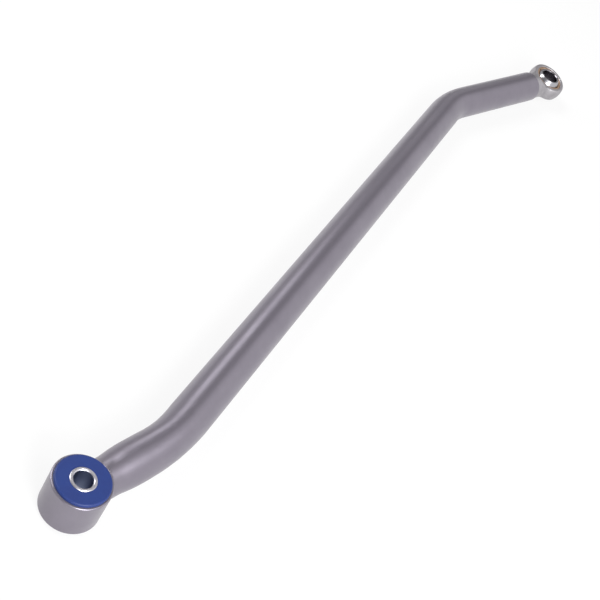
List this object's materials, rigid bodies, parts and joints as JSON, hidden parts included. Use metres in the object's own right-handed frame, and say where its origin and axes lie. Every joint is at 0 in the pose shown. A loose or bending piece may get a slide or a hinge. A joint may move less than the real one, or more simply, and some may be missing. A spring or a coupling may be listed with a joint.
{
  "type": "panhard rod",
  "caption": "Bent tubular suspension link with a welded bush eye at one end and a spherical rod end at the other, in a pale metallic coat.",
  "frame": {"origin": "centre of the bush eye, halfway along its sleeve", "axes": "+Z along the bush eye's axis, +X towards the centre of the rod end's ball, the tube's line in the XY plane"},
  "size_m": [1.0715, 0.11, 0.0428],
  "materials": {
    "coated_steel": "satin powder coat, pale metallic grey",
    "bush_blue": "smooth cast polyurethane, semi-gloss",
    "plated_sleeve": "turned and plated",
    "bare_steel": "forged and plated, faintly textured",
    "race_brass": "turned, slightly dull",
    "ball_chrome": "polished"
  },
  "bodies": {
    "rod": {"tube": "coated_steel", "bush_eye": "coated_steel", "eye_weld": "coated_steel", "bush_upper": "bush_blue", "bush_lower": "bush_blue", "threaded_insert": "bare_steel"},
    "sleeve": {"crush_sleeve": "plated_sleeve"},
    "rod_end": {"rod_end_body": "bare_steel", "race": "race_brass"},
    "ball": {"ball": "ball_chrome"}
  },
  "joints": [
    {"name": "sleeve_turn", "type": "hinge", "parent": "rod", "child": "sleeve", "pos_m": [0, 0, 0], "axis": [0, 0, 1], "continuous": true},
    {"name": "rod_end_turn", "type": "hinge", "parent": "rod", "child": "rod_end", "pos_m": [1.02031, 0, 0], "axis": [0.9634, -0.2681, 0], "range_deg": [0, 180]},
    {"name": "ball_tilt", "type": "hinge", "parent": "rod_end", "child": "ball", "pos_m": [1.02031, 0, 0], "axis": [0.9634, -0.2681, 0], "range_deg": [-8, 19.5]}
  ]
}
